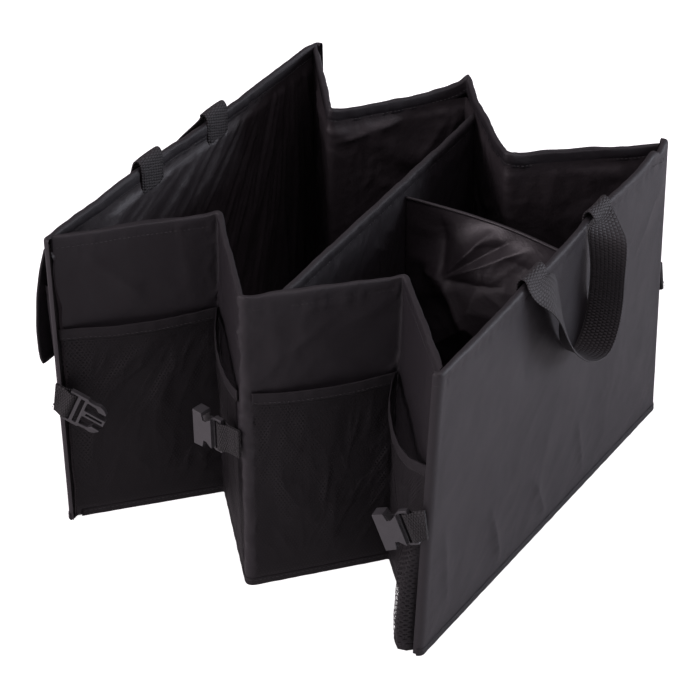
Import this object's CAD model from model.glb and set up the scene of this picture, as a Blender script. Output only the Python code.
"""Half-folded car trunk organizer: cloth, lining, nets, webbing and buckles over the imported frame.

Sizes are in millimetres until a mesh is made. Walls are laid out in plan between corner posts, each with its
place at the floor and at the top, as in the part's own solids.
"""
import math

import bmesh
import bpy
import numpy as np
from mathutils import Matrix, Vector


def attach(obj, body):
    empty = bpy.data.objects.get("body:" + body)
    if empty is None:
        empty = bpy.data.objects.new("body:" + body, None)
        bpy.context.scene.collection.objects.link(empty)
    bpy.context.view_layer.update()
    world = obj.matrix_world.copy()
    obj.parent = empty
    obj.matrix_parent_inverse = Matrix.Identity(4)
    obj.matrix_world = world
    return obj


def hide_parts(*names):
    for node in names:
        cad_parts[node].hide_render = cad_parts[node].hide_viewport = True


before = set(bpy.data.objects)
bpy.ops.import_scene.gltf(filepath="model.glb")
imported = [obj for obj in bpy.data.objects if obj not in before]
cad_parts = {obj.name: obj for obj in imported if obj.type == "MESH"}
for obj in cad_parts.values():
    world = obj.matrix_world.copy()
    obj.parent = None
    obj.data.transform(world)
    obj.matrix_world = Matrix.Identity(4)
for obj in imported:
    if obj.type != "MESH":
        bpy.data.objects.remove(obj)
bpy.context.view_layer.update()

# Driving sizes
MM = 0.001
CENTRE = np.array([10.974, 5.167])    # from the plan's origin to the middle of the part
HEIGHT = 268
GAP = 0.3
CLOTH = 0.8
SATIN = 0.6
HALF_PANEL = 1.5
HALF_LEAF = 1.0
HEM = 13
SEAM_HEIGHT = 7
SEAM_PROUD = 0.7
WEBBING = 1.3
HANDLE_WIDTH = 30
TAB_WIDTH = 25
POCKET_TOP = HEIGHT - 84
POCKET_FLOOR = SEAM_HEIGHT + 2
BINDING_HEIGHT = 10
STITCH_DROP = 10.5      # hem's stitch line below the top edge


def cover_out(half):
    return half + GAP + CLOTH


# Corner posts in plan: first row at the floor, second row at the top
def post(floor, top):
    return np.array([floor, top], dtype=float)


REAR_FAR = post((-168, 200), (-171, 197))
REAR_NEAR = post((-173, -190), (-176, -192))
CREASE_REAR_NEAR = post((-84, -96), (-82, -96))
MID_NEAR = post((0, -195), (0, -195))
CREASE_FRONT_NEAR = post((80, -107), (89, -106))
FRONT_NEAR = post((158.5, -198.5), (175, -207.5))
FRONT_FAR = post((173, 189), (170, 183))
CREASE_FRONT_FAR = post((74, 104), (68, 101))
MID_FAR = post((-16, 195), (-17, 195))
CREASE_REAR_FAR = post((-95, 94), (-95, 94))
REAR_WALL = (REAR_FAR, REAR_NEAR)
FRONT_WALL = (FRONT_NEAR, FRONT_FAR)
NEAR_POSTS = (REAR_NEAR, CREASE_REAR_NEAR, MID_NEAR, CREASE_FRONT_NEAR, FRONT_NEAR)
FAR_POSTS = (FRONT_FAR, CREASE_FRONT_FAR, MID_FAR, CREASE_REAR_FAR, REAR_FAR)


# Repeatable noise and creases
def hashed(ix, iy, seed):
    n = (ix * 374761393 + iy * 668265263 + seed * 974634777) & 0xFFFFFFFF
    n = ((n ^ (n >> 13)) * 1274126177) & 0xFFFFFFFF
    return ((n ^ (n >> 16)) & 0xFFFFFF) / 0xFFFFFF * 2 * math.pi


def noise(x, y, seed):
    """Smooth gradient noise from about -1 to 1."""
    x, y = np.broadcast_arrays(np.asarray(x, float), np.asarray(y, float))
    ix, iy = np.floor(x).astype(np.int64), np.floor(y).astype(np.int64)
    fx, fy = x - ix, y - iy
    ease_x, ease_y = (f * f * f * (f * (f * 6 - 15) + 10) for f in (fx, fy))

    def lattice(dx, dy):
        angle = hashed(ix + dx, iy + dy, seed)
        return np.cos(angle) * (fx - dx) + np.sin(angle) * (fy - dy)

    low = lattice(0, 0) * (1 - ease_x) + lattice(1, 0) * ease_x
    high = lattice(0, 1) * (1 - ease_x) + lattice(1, 1) * ease_x
    return 1.5 * (low * (1 - ease_y) + high * ease_y)


def crumple(u, v, size, seed, stretch=1.0, lean=0.0, octaves=3):
    """Thin creased cloth, from about 0 to 1: sharp ridges between smooth dips, drawn out along a lean."""
    c, s = math.cos(lean), math.sin(lean)
    a = (u * c - v * s) / size
    b = (u * s + v * c) / (size * stretch)
    a = a + 0.5 * noise(a * 0.6, b * 0.6, seed + 1)
    b = b + 0.5 * noise(a * 0.6, b * 0.6, seed + 2)
    total, weight, whole = 0, 1.0, 0
    for octave in range(octaves):
        scale = 1.9 ** octave
        ridge = 1 - np.minimum(np.abs(noise(a * scale, b * scale, seed + 7 * octave)) * 1.6, 1)
        total = total + weight * ridge
        whole += weight
        weight *= 0.5
    return total / whole


def fold_line(u, v, start, end, width, rise):
    """One sharp crease from start to end, fading at its ends."""
    (u0, v0), (u1, v1) = start, end
    size = math.hypot(u1 - u0, v1 - v0)
    wu, wv = (u1 - u0) / size, (v1 - v0) / size
    run = ((u - u0) * wu + (v - v0) * wv) / size
    away = np.abs(-(u - u0) * wv + (v - v0) * wu)
    fade = np.clip(np.minimum(run * 4 + 0.3, (1 - run) * 3), 0, 1)
    return rise * np.exp(-away / width) * fade


def folds(u, v, *creases):
    """Several sharp creases, each given by its start, end, width and rise."""
    return sum(fold_line(u, v, *crease) for crease in creases)


def smooth_step(x, low, high):
    t = np.clip((x - low) / (high - low), 0, 1)
    return t * t * (3 - 2 * t)


def bell(x, width):
    """A smooth hump, 1 where x is zero."""
    return np.exp(-(x / width) ** 2)


# Plan geometry
def unit(v):
    return v / np.linalg.norm(v, axis=-1, keepdims=True)


def right_of(v):
    return np.stack([v[..., 1], -v[..., 0]], axis=-1)


def corner(wall_a, moved_a, wall_b, moved_b):
    """Where two walls' lines cross at both levels, each moved to its right."""
    a, b = wall_a
    p, q = wall_b
    a = a + right_of(unit(wall_a[1] - wall_a[0])) * moved_a
    way = unit(b - wall_a[0])
    side = right_of(unit(q - p))
    start = p + side * moved_b
    reach = ((start - a) * side).sum(-1, keepdims=True) / (way * side).sum(-1, keepdims=True)
    return a + way * reach


def between(a, b, share):
    return a + (b - a) * share


class Wall:
    """An upright wall over corner posts, with its corners rounded and its ends cut along other walls."""

    def __init__(self, posts, rounding=5.0, cuts=(None, None)):
        self.posts = np.array(posts)
        self.rounding = rounding
        self.cuts = cuts
        middle = self.posts.mean(axis=1)
        self.lengths = np.linalg.norm(middle[1:] - middle[:-1], axis=1)
        self.starts = np.concatenate([[0], np.cumsum(self.lengths)])

    @property
    def length(self):
        return self.starts[-1]

    def column(self, distance):
        """Post number plus share of the way to the next one, for distances along the wall."""
        distance = np.asarray(distance, float)
        i = np.clip(np.searchsorted(self.starts, distance, side="right") - 1, 0, len(self.lengths) - 1)
        return i + (distance - self.starts[i]) / self.lengths[i]

    def distance(self, column):
        i = np.clip(np.floor(column).astype(int), 0, len(self.lengths) - 1)
        return self.starts[i] + (column - i) * self.lengths[i]

    def columns(self, step, start=0.0, end=None, fine=1.2, reach=8.0):
        """Columns a step apart, closer together round the corners."""
        end = self.length if end is None else end
        marks = [start]
        corners = self.starts[1:-1]
        while marks[-1] < end:
            x = marks[-1]
            near = len(corners) and np.min(np.abs(corners - x)) < reach
            marks.append(min(x + (fine if near else step), end))
        return self.column(np.array(marks))

    def points(self, columns, z, side):
        """Points of the wall for columns (n), with heights and distances out of its middle (n or 1, m)."""
        columns = np.asarray(columns, float)
        n = len(columns)
        z, side = np.broadcast_arrays(np.atleast_2d(z), np.atleast_2d(side))
        if z.shape[0] != n:
            z, side = np.broadcast_to(z, (n, z.shape[1])), np.broadcast_to(side, (n, side.shape[1]))
        share = (z / HEIGHT)[..., None]
        last = len(self.lengths) - 1
        i = np.clip(np.floor(columns).astype(int), 0, last)
        part = (columns - i)[:, None, None]

        def at(index):
            chosen = self.posts[np.clip(index, 0, last + 1)]
            return chosen[:, None, 0] * (1 - share) + chosen[:, None, 1] * share

        a, b = at(i), at(i + 1)
        way = unit(b - a)
        size = np.linalg.norm(b - a, axis=-1, keepdims=True)
        place, course = a + (b - a) * part, way + 0 * a
        w = self.rounding
        before = unit(a - at(i - 1) + 1e-9)
        after = unit(at(i + 2) - b + 1e-9)
        for at_corner, first, second, gone, allowed in (
            (a, before, way, part * size, i > 0),
            (b, way, after, (part - 1) * size, i < last),
        ):
            t = np.clip(0.5 + gone / (2 * w), 0, 1)
            curve = at_corner - first * w * (1 - t) ** 2 + second * w * t ** 2
            turn = first * (1 - t) + second * t
            near = (np.abs(gone) < w) & allowed[:, None, None]
            place = np.where(near, curve, place)
            course = np.where(near, turn, course)
        normal = right_of(unit(course))
        for cut, gap_along in ((self.cuts[0], self.distance(columns)),
                               (self.cuts[1], self.length - self.distance(columns))):
            if cut is not None:
                wall_cut = cut[0] * (1 - share) + cut[1] * share
                lean = wall_cut / (wall_cut * normal).sum(-1, keepdims=True)
                weight = np.clip(1 - gap_along / 14, 0, 1)[:, None, None]
                normal = normal * (1 - weight) + lean * weight
        flat = place + normal * side[..., None] + CENTRE
        return np.concatenate([flat, z[..., None]], axis=-1)


def course_of(wall_posts):
    return unit(wall_posts[1] - wall_posts[0])


# Meshes
def grid_quads(rows, columns, wrap=False):
    i, k = np.meshgrid(np.arange(rows - 1), np.arange(columns if wrap else columns - 1), indexing="ij")
    following = (k + 1) % columns
    a, b = i * columns + k, (i + 1) * columns + k
    c, d = (i + 1) * columns + following, i * columns + following
    return np.stack([a, b, c, d], axis=-1).reshape(-1, 4)


def tube_faces(rows, columns):
    """Faces of a closed profile carried along rows, shut at its two ends."""
    ends = [list(range(columns)), list(range((rows - 1) * columns, rows * columns))[::-1]]
    return grid_quads(rows, columns, wrap=True).tolist() + ends


def run_along(points):
    """Distance along a line of points from its first one."""
    return np.concatenate([[0], np.cumsum(np.linalg.norm(np.diff(points, axis=0), axis=1))])


def profile_run(side, z):
    return run_along(np.stack([side, z], axis=-1))


def paired(a, b):
    """Two cloth coordinates side by side, for every point of a grid."""
    return np.stack(np.broadcast_arrays(a, b), axis=-1)


def new_object(name, data):
    obj = bpy.data.objects.new(name, data)
    bpy.context.scene.collection.objects.link(obj)
    return obj


def build(name, points, faces, uv=None, wear=None):
    """A smooth-shaded object of points in millimetres, with its cloth coordinates and its edge wear."""
    mesh = bpy.data.meshes.new(name)
    points = np.asarray(points, float).reshape(-1, 3)
    faces = faces.tolist() if hasattr(faces, "tolist") else faces
    mesh.from_pydata((points * MM).tolist(), [], faces)
    loops = np.zeros(len(mesh.loops), dtype=np.int32)
    mesh.loops.foreach_get("vertex_index", loops)
    if uv is not None:
        layer = mesh.uv_layers.new(name="cloth")
        flat = np.asarray(uv, float).reshape(-1, 2) * MM
        layer.data.foreach_set("uv", flat[loops].ravel())
    if wear is not None:
        layer = mesh.attributes.new("wear", "FLOAT", "POINT")
        layer.data.foreach_set("value", np.asarray(wear, float).ravel())
    mesh.shade_smooth()
    return new_object(name, mesh)


def outward(obj):
    """Turns every face of a closed piece to face out."""
    shape = bmesh.new()
    shape.from_mesh(obj.data)
    bmesh.ops.recalc_face_normals(shape, faces=shape.faces)
    shape.to_mesh(obj.data)
    shape.free()
    return obj


def finish(obj, material, nodes=(), body="organizer"):
    obj.data.materials.append(material)
    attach(obj, body)
    if nodes:
        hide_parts(*nodes)
    return obj


def closed(name, ring, uv, wear=0.0):
    """One closed piece from a ring of points at each place along a line."""
    n, m = ring.shape[:2]
    return outward(build(name, ring, tube_faces(n, m), uv, np.broadcast_to(wear, (n, m))))


def carried(line, across, facing, shape):
    """A profile's points carried along a line, with their cloth coordinates."""
    ring = np.stack([line + across * w + facing * t for w, t in shape], axis=1)
    return ring, paired(run_along(line)[:, None], np.array([w for w, _ in shape])[None])


def swept(name, wall, columns, side, z, wear):
    """A closed profile, side and height by column, swept along a wall and closed at its two ends."""
    points = wall.points(columns, z, side)
    step = np.linalg.norm(np.diff(points, axis=1, prepend=points[:, :1]), axis=2)
    return closed(name, points, paired(wall.distance(columns)[:, None], np.cumsum(step, axis=1)), wear)


def stitches(name, starts, ends, normals, radius=0.3):
    """Short plump stitches, all in one piece."""
    starts, ends, normals = (np.asarray(a, float) for a in (starts, ends, normals))
    course = ends - starts
    ahead = unit(course)
    across = unit(np.cross(normals, ahead))
    upward = np.cross(ahead, across)
    spokes = 5
    angles = np.arange(spokes) * 2 * math.pi / spokes
    ring = (across[:, None] * np.cos(angles)[None, :, None]
            + upward[:, None] * np.sin(angles)[None, :, None] * 0.8) * radius
    low = starts + upward * radius * 0.3
    parts = [low[:, None], (low + course * 0.22)[:, None] + ring, (low + course * 0.78)[:, None] + ring,
             (low + course)[:, None]]
    points = np.concatenate(parts, axis=1).reshape(-1, 3)
    block = 2 * spokes + 2
    pattern = []
    for k in range(spokes):
        following = (k + 1) % spokes
        pattern.append([0, 1 + following, 1 + k])
        pattern.append([1 + k, 1 + following, 1 + spokes + following, 1 + spokes + k])
        pattern.append([block - 1, 1 + spokes + k, 1 + spokes + following])
    faces = [[i * block + j for j in face] for i in range(len(starts)) for face in pattern]
    return finish(build(name, points, faces, np.zeros((len(points), 2))), THREAD)


def seam_along(wall, columns, z, side_at, pitch=3.6, length=2.5, sign=1):
    """Starts, ends and normals of stitches along a wall at a height, on the face at side_at(distance, z)."""
    first, last = wall.distance(columns[0]), wall.distance(columns[-1])
    marks = np.arange(first + 1.5, last - length - 1, pitch)
    levels = z(marks) if callable(z) else np.full(len(marks), float(z))

    def place(distance, level):
        side = np.asarray(side_at(distance, level))
        return wall.points(wall.column(distance), level[:, None], side[:, None])[:, 0]

    starts, ends = place(marks, levels), place(marks + length, levels)
    normals = unit(np.cross(ends - starts, starts - place(marks, levels - 2))) * sign
    return starts, ends, normals


def joined(seams):
    return [np.concatenate(parts) for parts in zip(*seams)]


# Materials
def new_material(name):
    """A material, its node tree and its main shader."""
    material = bpy.data.materials.new(name)
    material.use_nodes = True
    tree = material.node_tree
    return material, Nodes(tree), tree.nodes["Principled BSDF"]


class Nodes:
    """Short calls for building a node tree."""

    def __init__(self, tree):
        self.tree = tree

    def add(self, kind, **values):
        node = self.tree.nodes.new(kind)
        for key, value in values.items():
            setattr(node, key, value)
        return node

    def link(self, source, target):
        self.tree.links.new(source, target)

    def math(self, operation, a, b=None, c=None):
        node = self.add("ShaderNodeMath", operation=operation)
        for socket, value in zip(node.inputs, (a, b, c)):
            if value is None:
                continue
            if isinstance(value, (int, float)):
                socket.default_value = value
            else:
                self.link(value, socket)
        return node.outputs[0]

    def noise(self, vector, scale, detail=2.0, roughness=0.5):
        node = self.add("ShaderNodeTexNoise")
        node.inputs["Scale"].default_value = scale
        node.inputs["Detail"].default_value = detail
        node.inputs["Roughness"].default_value = roughness
        self.link(vector, node.inputs["Vector"])
        return node.outputs["Fac"]

    def spread(self, value, low, high):
        """The value from 0 to 1 spread over another range."""
        node = self.add("ShaderNodeMapRange")
        node.inputs["To Min"].default_value = low
        node.inputs["To Max"].default_value = high
        self.link(value, node.inputs["Value"])
        return node.outputs["Result"]

    def mix(self, share, first, second):
        node = self.add("ShaderNodeMix", data_type="RGBA")
        self.link(share, node.inputs["Factor"])
        for socket, value in ((node.inputs["A"], first), (node.inputs["B"], second)):
            if isinstance(value, tuple):
                socket.default_value = (*value, 1)
            else:
                self.link(value, socket)
        return node.outputs["Result"]

    def place(self):
        return self.add("ShaderNodeTexCoord").outputs["Object"]

    def coordinates(self):
        """Cloth coordinates along and across, in metres, and the object's own place."""
        cloth = self.add("ShaderNodeUVMap", uv_map="cloth").outputs[0]
        parts = self.add("ShaderNodeSeparateXYZ")
        self.link(cloth, parts.inputs[0])
        return cloth, parts.outputs[0], parts.outputs[1], self.place()

    def bump(self, height, strength, distance, normal=None):
        node = self.add("ShaderNodeBump")
        node.inputs["Strength"].default_value = strength
        node.inputs["Distance"].default_value = distance
        self.link(height, node.inputs["Height"])
        if normal is not None:
            self.link(normal, node.inputs["Normal"])
        return node.outputs[0]

    def wave(self, x):
        """Rounded ridges, one for each unit of x."""
        return self.math("ABSOLUTE", self.math("SINE", self.math("MULTIPLY", x, math.pi)))

    def weave(self, along, across, pitch):
        """Plain weave: rounded threads over and under each other."""
        x, y = (self.math("DIVIDE", run, pitch * MM) for run in (along, across))
        step = self.math("ADD", self.math("FLOOR", x), self.math("FLOOR", y))
        odd = self.math("FLOORED_MODULO", step, 2.0)
        over = self.math("MULTIPLY", self.wave(x), odd)
        under = self.math("MULTIPLY", self.wave(y), self.math("SUBTRACT", 1.0, odd))
        return self.math("ADD", over, under)


WORN = (0.036, 0.035, 0.037)
FLUFF = (0.06, 0.06, 0.061)


def woven(name, dark, light, rough, pitch, weave_bump, crinkle=0.0, gloss=0.3):
    """Woven cloth: threads, uneven dye, dust and lighter worn edges."""
    material, nodes, shader = new_material(name)
    cloth, along, across, place = nodes.coordinates()
    threads = nodes.weave(along, across, pitch)
    patches = nodes.noise(place, 9.0, 3.0)
    colour = nodes.mix(nodes.spread(patches, 0.15, 0.85), dark, light)
    slub = nodes.noise(cloth, 900.0, 1.0)
    shade = nodes.math("MULTIPLY", nodes.spread(threads, 0.8, 1.08), nodes.spread(slub, 0.85, 1.15))
    tint = nodes.add("ShaderNodeMix", data_type="RGBA", blend_type="MULTIPLY")
    tint.inputs["Factor"].default_value = 1.0
    nodes.link(colour, tint.inputs["A"])
    nodes.link(shade, tint.inputs["B"])
    edge = nodes.add("ShaderNodeAttribute", attribute_name="wear")
    dust = nodes.spread(nodes.noise(place, 140.0, 3.0), 0.25, 1.0)
    rubbed = nodes.math("MULTIPLY", edge.outputs["Fac"], dust)
    nodes.link(nodes.mix(rubbed, tint.outputs["Result"], WORN), shader.inputs["Base Color"])
    matt = nodes.spread(nodes.noise(place, 30.0, 3.0), rough - 0.07, rough + 0.07)
    nodes.link(matt, shader.inputs["Roughness"])
    normal = None
    if crinkle:
        creases = nodes.noise(place, 38.0, 4.0, 0.55)
        normal = nodes.bump(creases, crinkle, 0.004)
    normal = nodes.bump(threads, weave_bump, pitch * MM * 0.25, normal)
    nodes.link(normal, shader.inputs["Normal"])
    shader.inputs["Specular IOR Level"].default_value = gloss
    return material


def ribbed(name, colour, pitch, column):
    """Coarse ribbed webbing: ribs across it, offset from one column of threads to the next."""
    material, nodes, shader = new_material(name)
    cloth, along, across, place = nodes.coordinates()
    columns = nodes.math("DIVIDE", across, column * MM)
    offset = nodes.math("MULTIPLY", nodes.math("FLOORED_MODULO", nodes.math("FLOOR", columns), 2.0), 0.5)
    ribs = nodes.math("ADD", nodes.math("DIVIDE", along, pitch * MM), offset)
    rib, gap = nodes.wave(ribs), nodes.wave(columns)
    height = nodes.math("MULTIPLY", nodes.math("POWER", rib, 0.6), nodes.math("POWER", gap, 0.35))
    fuzz = nodes.noise(place, 1500.0, 2.0)
    dark = tuple(v * 0.35 for v in colour)
    tone = nodes.mix(height, dark, colour)
    nodes.link(nodes.mix(nodes.spread(fuzz, 0.0, 0.25), tone, FLUFF), shader.inputs["Base Color"])
    nodes.link(nodes.spread(fuzz, 0.55, 0.75), shader.inputs["Roughness"])
    nodes.link(nodes.bump(height, 1.0, 0.0008), shader.inputs["Normal"])
    shader.inputs["Specular IOR Level"].default_value = 0.35
    return material


def moulded(name, colour, rough):
    """Moulded plastic: fine grain, faint flow marks and scuffs."""
    material, nodes, shader = new_material(name)
    place = nodes.place()
    grain = nodes.noise(place, 1400.0, 2.0)
    scuffs = nodes.noise(place, 160.0, 5.0, 0.7)
    pale = tuple(min(v * 1.6 + 0.01, 1) for v in colour)
    nodes.link(nodes.mix(nodes.spread(scuffs, -0.3, 0.8), colour, pale), shader.inputs["Base Color"])
    nodes.link(nodes.spread(scuffs, rough - 0.08, rough + 0.16), shader.inputs["Roughness"])
    nodes.link(nodes.bump(grain, 0.35, 0.0002), shader.inputs["Normal"])
    return material


def board_material():
    """Black pressed board, seen only where a seam gapes."""
    material, nodes, shader = new_material("pressed_board")
    fibres = nodes.noise(nodes.place(), 420.0, 4.0, 0.7)
    nodes.link(nodes.mix(fibres, (0.009, 0.008, 0.009), (0.016, 0.0145, 0.0155)), shader.inputs["Base Color"])
    nodes.link(nodes.bump(fibres, 0.4, 0.0003), shader.inputs["Normal"])
    shader.inputs["Roughness"].default_value = 0.9
    return material


COVER = woven("cover_cloth", (0.0125, 0.011, 0.0128), (0.018, 0.016, 0.0186), 0.5, 0.62, 0.4, crinkle=0.14)
INNER = woven("inner_cloth", (0.0175, 0.0148, 0.0164), (0.026, 0.022, 0.0244), 0.5, 0.42, 0.2,
              crinkle=0.5, gloss=0.42)
SATIN_CLOTH = woven("soft_inner_cloth", (0.018, 0.0153, 0.0171), (0.025, 0.0213, 0.0238), 0.42, 0.42, 0.2,
                    crinkle=0.3, gloss=0.42)
TAPE = woven("edge_tape", (0.0085, 0.0076, 0.0086), (0.0125, 0.0112, 0.0126), 0.6, 0.8, 0.7)
BAND = woven("pocket_band", (0.0095, 0.0084, 0.0096), (0.0135, 0.012, 0.0138), 0.6, 0.7, 0.6, gloss=0.25)
NET = woven("pocket_net", (0.0085, 0.0074, 0.0083), (0.0125, 0.011, 0.0123), 0.6, 0.5, 0.3)
STRAP = ribbed("ribbed_webbing", (0.026, 0.0236, 0.0256), 2.5, 3.4)
TAB = ribbed("tab_webbing", (0.018, 0.0175, 0.018), 1.9, 2.6)
BUCKLE = moulded("buckle_plastic", (0.036, 0.036, 0.038), 0.34)
THREAD = moulded("thread", (0.024, 0.0235, 0.025), 0.55)
BOARD = board_material()


# Cover cloths: up the outside, over the top edge and down the inside hem
DIP = 0.75      # how far cloth can sink towards its board


def cover_rows(outer, low, step):
    rows = [(outer, z, 1.0, 0.0) for z in np.arange(low, HEIGHT - outer - 1, step)]
    for angle in np.linspace(0, math.pi, 11):
        c, s = math.cos(angle), math.sin(angle)
        rows.append((outer * c, HEIGHT - outer + outer * s, c, s))
    rows += [(-outer, z, -1.0, 0.0) for z in np.arange(HEIGHT - outer - 1.4, HEIGHT - HEM, -1.4)]
    rows += [(0.4 - outer, HEIGHT - HEM - 0.3, 0.0, -1.0), (0.9 - outer, HEIGHT - HEM - 0.1, 0.0, 0.0)]
    return np.array(rows).T


def hem_press(u, z, seed):
    """The hem's stitch line pressed into the cloth, its thick turned edge, and the puckers beside it."""
    away = z - (HEIGHT - STITCH_DROP)
    drawn = 0.55 + 0.9 * smooth_step(noise(u / 31, 0 * u, seed + 8), -0.5, 0.6)
    pucker = 0.42 * drawn * np.sin(u / 2.1 + 4 * noise(u / 15, 0 * u, seed)) * bell(away, 6.5)
    swell = 0.35 * bell(away - 5, 4)
    return pucker + swell - 0.8 * bell(away, 1.3)


def edge_waves(u, seed, amount=1.0):
    """How a top edge rises and falls along its length."""
    return amount * (1.3 * noise(u / 52, 0 * u, seed) + 0.6 * noise(u / 17, 0 * u, seed + 1))


def waviness(u, z, seed, amount):
    """Board and cloth never lie quite flat."""
    broad = noise(u / 120, z / 95, seed) * 1.6
    small = noise(u / 38, z / 60, seed + 3) * 0.6
    soft = (crumple(u, z, 58, seed + 5, 1.5, 0.35) - 0.5) * 1.5
    return amount * (broad + small + soft)


def no_flare(u, z):
    return 0 * (u + z)


def held_ends(wall, u):
    """Nothing moves where a cloth's upright ends are sewn."""
    return smooth_step(u, 2, 16) * smooth_step(wall.length - u, 2, 16)


def settled(push):
    """Cloth can rise off its board but hardly sinks towards it."""
    return np.where(push < 0, DIP * np.tanh(push / DIP), push)


def cover(name, wall, half, seed, amount, nodes, details=None, step=2.6, lift=None, flare=no_flare):
    """A cover cloth over a wall's boards: details adds wrinkles, lift moves the top edge, flare the foot."""
    outer = cover_out(half)
    columns = wall.columns(step)
    side, z, out_side, out_z = cover_rows(outer, 1.5, step)
    u = wall.distance(columns)[:, None]
    inner = out_side < -0.5
    push = waviness(u, z[None], seed, amount) * np.where(inner, -1, 1) + hem_press(u, z[None], seed)
    if details:
        push = push + details(u, z[None]) * (out_side > 0.5)
    held = smooth_step(z, 4, 22)[None] * held_ends(wall, u)
    push = settled(push) * held + flare(u, z[None]) * (out_side > -0.5)
    raised = z[None] + 0 * u
    if lift:
        raised = raised + lift(u) * smooth_step(z, HEIGHT - 90, HEIGHT)[None]
    points = wall.points(columns, raised + out_z[None] * push, side[None] + out_side[None] * push)
    run = profile_run(side, z)
    edge = bell(z[None] - HEIGHT, 2.2)
    creases = sum(bell(u - c, 4.5) for c in wall.starts[1:-1])
    wear = np.clip(0.45 * edge + 0.3 * creases + 0 * u, 0, 1)
    obj = build(name, points, grid_quads(len(columns), len(z)), paired(u, run[None]), wear)

    def face_at(distance, level, outside=True):
        """How far the cloth's face stands off the wall's middle."""
        base = waviness(distance, level, seed, amount)
        press = hem_press(distance, level, seed)
        held = held_ends(wall, distance)
        if outside:
            return outer + held * settled(base + press + (details(distance, level) if details else 0))
        return -outer - held * settled(press - base)

    hem_level = (lambda d: HEIGHT - STITCH_DROP + lift(d) * 0.9) if lift else HEIGHT - STITCH_DROP
    seams = [seam_along(wall, columns, hem_level, face_at),
             seam_along(wall, columns, hem_level, lambda d, v: face_at(d, v, False), sign=-1)]
    stitches(f"{name}_hem_stitches", *joined(seams))
    finish(obj, COVER, nodes)
    return obj


def foot_binding(name, wall, half, start=0.0, end=None, flare=no_flare):
    """Bound seam round the bottom edge, with its own row of stitches."""
    outer = cover_out(half) + SEAM_PROUD
    columns = wall.columns(3.0, start, end)
    ring = [(outer - 0.9, SEAM_HEIGHT), (outer - 0.3, SEAM_HEIGHT), (outer, SEAM_HEIGHT - 0.4),
            (outer, 3.5), (outer, 1.2), (outer - 0.35, 0.35), (outer - 1.0, 0.05), (half, 0.05),
            (-half, 0.05), (-half - 0.9, 0.5), (-half - 1.0, 2.0), (-half - 1.0, 3.5), (-half - 0.4, 3.8),
            (-half, 3.5), (-half, 1.5), (half, 1.5), (outer - 1.3, 1.5), (outer - 1.3, 5.5)]
    side, z = np.array(ring).T
    u = wall.distance(columns)[:, None]
    swell = 0.3 * noise(u / 9, z[None] / 8, 41) * (side[None] > half) + flare(u, z[None])
    obj = swept(name, wall, columns, side[None] + swell, z[None] + 0 * u, 0.12)
    seam = seam_along(wall, columns, 5.2, lambda d, v: outer + 0.05 + flare(d, v))
    stitches(f"{name}_stitches", *seam, 0.26)
    return finish(obj, TAPE)


# Linings: thin cloth crinkled over the boards' inner faces
def lining(name, wall, half, nodes, creases, step=2.0, height=2.2):
    columns = wall.columns(step)
    z = np.concatenate([np.arange(4, HEIGHT - HEM - 2, step), [HEIGHT - HEM, HEIGHT - HEM + 2.5]])
    u = wall.distance(columns)[:, None]
    rest = half + GAP + SATIN
    room = smooth_step(z, 4, 16) * (1 - smooth_step(z, HEIGHT - HEM - 9, HEIGHT - HEM - 1))
    push = np.clip(creases(u, z[None]), 0, 1.6) * height * room[None]
    points = wall.points(columns, z[None] + 0 * u, -(rest + push))
    faces = grid_quads(len(columns), len(z))[:, ::-1]
    obj = finish(build(name, points, faces, paired(u, z[None])), INNER, nodes)
    return obj


def fan_creases(u, z, seed, origin, spread, size):
    """Long streaks that fan out from a point."""
    du, dz = u - origin[0], z - origin[1]
    angle = np.arctan2(du, -dz) * spread
    far = np.hypot(du, dz)
    streaks = 1 - np.minimum(np.abs(noise(angle, far / size, seed)) * 1.7, 1)
    finer = 1 - np.minimum(np.abs(noise(angle * 2.3, far / size * 1.4, seed + 5)) * 1.7, 1)
    return 0.65 * streaks + 0.35 * finer


def soft_lining(seed, lean, size=26, stretch=2.6):
    def creases(u, z):
        broad = crumple(u, z, size, seed, stretch, lean)
        return broad ** 1.4 * (0.45 + 0.9 * smooth_step(noise(u / 80, z / 80, seed + 31), -0.4, 0.6))
    return creases


# Long panels
REACH = 4
LIP = 4.5


def panel_wall(wall_posts):
    first, last = wall_posts
    way = course_of(wall_posts)
    inward = -right_of(way)
    start, end = first - way * REACH, last + way * REACH
    return Wall([start + inward * LIP, start, end, end + inward * LIP], rounding=3.0)


def panel_lining_wall(wall_posts):
    way = course_of(wall_posts)
    return Wall([wall_posts[0] - way * (REACH - 2), wall_posts[1] + way * (REACH - 2)])


rear_wall = panel_wall(REAR_WALL)
front_wall = panel_wall(FRONT_WALL)


def front_details(u, z):
    """The front panel's own wrinkles: drawn at the handle and the corners, and creased near its foot."""
    creases = folds(u, z, ((120, 18), (98, 86), 4.5, 2.8), ((196, 14), (168, 72), 5.0, 2.4),
                    ((36, 30), (24, 120), 5.0, 1.6), ((262, 22), (244, 84), 4.5, 1.6))
    pulled = folds(u, z, ((135, HEIGHT - 14), (148, 168), 9.0, -2.4),
                   ((258, HEIGHT - 14), (244, 190), 8.0, -1.8), ((392, HEIGHT - 30), (330, 180), 7.0, 1.2))
    bulge = 1.8 * np.sin(np.pi * np.clip(u / 405, 0, 1)) * np.sin(np.pi * np.clip(z / HEIGHT, 0, 1))
    return creases + pulled + bulge


def front_lift(u):
    """The front panel's top edge: lifted between the handle's ends and notched near its far corner."""
    notch = -4.2 * bell(u - 386, 6) + 1.6 * bell(u - 370, 9)
    held = 1.8 * bell(u - 141, 16) + 2.2 * bell(u - 257, 16)
    return edge_waves(u, 77) + notch + held


def rear_lift(u):
    return edge_waves(u, 78, 1.2)


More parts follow.
